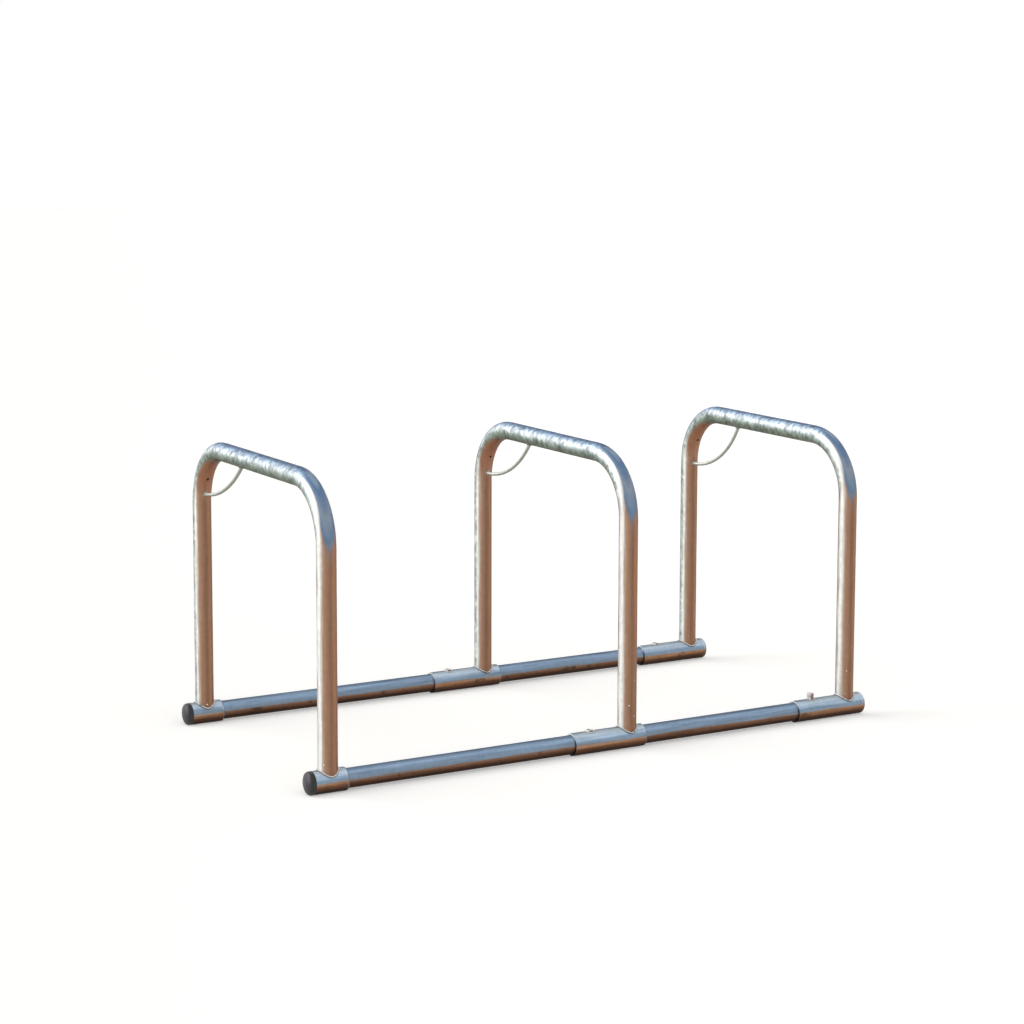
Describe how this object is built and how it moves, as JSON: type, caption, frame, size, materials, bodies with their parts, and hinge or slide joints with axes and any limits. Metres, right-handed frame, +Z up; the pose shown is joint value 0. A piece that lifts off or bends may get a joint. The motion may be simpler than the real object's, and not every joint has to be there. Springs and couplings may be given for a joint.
{
  "type": "floor bike rack",
  "caption": "Free-standing modular bike rack of bent-tube hoops with lock rods, standing on two telescoping base rails held by clamp screws.",
  "frame": {"origin": "middle of the footprint, on the floor the sleeves rest on", "axes": "+X along the rails, from the plugged end to the capped end; +Y across, towards the legs with the lock rods; +Z up"},
  "size_m": [1.726, 0.8554, 0.8056],
  "materials": {
    "galvanised_steel": "hot-dip galvanised, satin, faint spangle",
    "weld_bead": "galvanised weld bead, slightly brighter and rougher",
    "clamp_hardware": "zinc-plated nuts and screws, satin",
    "end_plug_plastic": "black moulded plastic, fine matt"
  },
  "bodies": {
    "hoop_1_module": {"hoop_1_tube": "galvanised_steel", "hoop_1_lock_rod": "galvanised_steel", "hoop_1_lock_rod_welds": "weld_bead", "hoop_1_leg_welds": "weld_bead", "hoop_1_front_sleeve": "galvanised_steel", "hoop_1_front_end_plug": "end_plug_plastic", "hoop_1_back_sleeve": "galvanised_steel", "hoop_1_back_end_plug": "end_plug_plastic", "bay_1_front_rail": "galvanised_steel", "bay_1_back_rail": "galvanised_steel", "bay_1_rail_welds": "weld_bead"},
    "hoop_2_module": {"hoop_2_tube": "galvanised_steel", "hoop_2_lock_rod": "galvanised_steel", "hoop_2_lock_rod_welds": "weld_bead", "hoop_2_leg_welds": "weld_bead", "hoop_2_front_sleeve": "galvanised_steel", "hoop_2_front_clamp_nut": "clamp_hardware", "hoop_2_front_clamp_nut_weld": "weld_bead", "hoop_2_back_sleeve": "galvanised_steel", "hoop_2_back_clamp_nut": "clamp_hardware", "hoop_2_back_clamp_nut_weld": "weld_bead", "bay_2_front_rail": "galvanised_steel", "bay_2_back_rail": "galvanised_steel", "bay_2_rail_welds": "weld_bead"},
    "hoop_3_module": {"hoop_3_tube": "galvanised_steel", "hoop_3_lock_rod": "galvanised_steel", "hoop_3_lock_rod_welds": "weld_bead", "hoop_3_leg_welds": "weld_bead", "hoop_3_front_sleeve": "galvanised_steel", "hoop_3_front_end_cap": "galvanised_steel", "hoop_3_front_clamp_nut": "clamp_hardware", "hoop_3_front_clamp_nut_weld": "weld_bead", "hoop_3_back_sleeve": "galvanised_steel", "hoop_3_back_end_cap": "galvanised_steel", "hoop_3_back_clamp_nut": "clamp_hardware", "hoop_3_back_clamp_nut_weld": "weld_bead", "hoop_3_cap_welds": "weld_bead"},
    "hoop_2_front_clamp_screw": {"hoop_2_front_clamp_screw": "clamp_hardware"},
    "hoop_2_back_clamp_screw": {"hoop_2_back_clamp_screw": "clamp_hardware"},
    "hoop_3_front_clamp_screw": {"hoop_3_front_clamp_screw": "clamp_hardware"},
    "hoop_3_back_clamp_screw": {"hoop_3_back_clamp_screw": "clamp_hardware"}
  },
  "joints": [
    {"name": "hoop_2_slide", "type": "slide", "parent": "hoop_1_module", "child": "hoop_2_module", "axis": [1, 0, 0], "range_m": [-0.06, 0.045]},
    {"name": "hoop_3_slide", "type": "slide", "parent": "hoop_2_module", "child": "hoop_3_module", "axis": [1, 0, 0], "range_m": [-0.06, 0.045]},
    {"name": "hoop_2_front_clamp_screw_turn", "type": "hinge", "parent": "hoop_2_module", "child": "hoop_2_front_clamp_screw", "pos_m": [-0.033, -0.3975, 0.0603], "axis": [0, 0, 1], "range_deg": [0, 720]},
    {"name": "hoop_2_back_clamp_screw_turn", "type": "hinge", "parent": "hoop_2_module", "child": "hoop_2_back_clamp_screw", "pos_m": [-0.033, 0.3975, 0.0603], "axis": [0, 0, 1], "range_deg": [0, 720]},
    {"name": "hoop_3_front_clamp_screw_turn", "type": "hinge", "parent": "hoop_3_module", "child": "hoop_3_front_clamp_screw", "pos_m": [0.691, -0.3975, 0.0603], "axis": [0, 0, 1], "range_deg": [0, 720]},
    {"name": "hoop_3_back_clamp_screw_turn", "type": "hinge", "parent": "hoop_3_module", "child": "hoop_3_back_clamp_screw", "pos_m": [0.691, 0.3975, 0.0603], "axis": [0, 0, 1], "range_deg": [0, 720]}
  ]
}
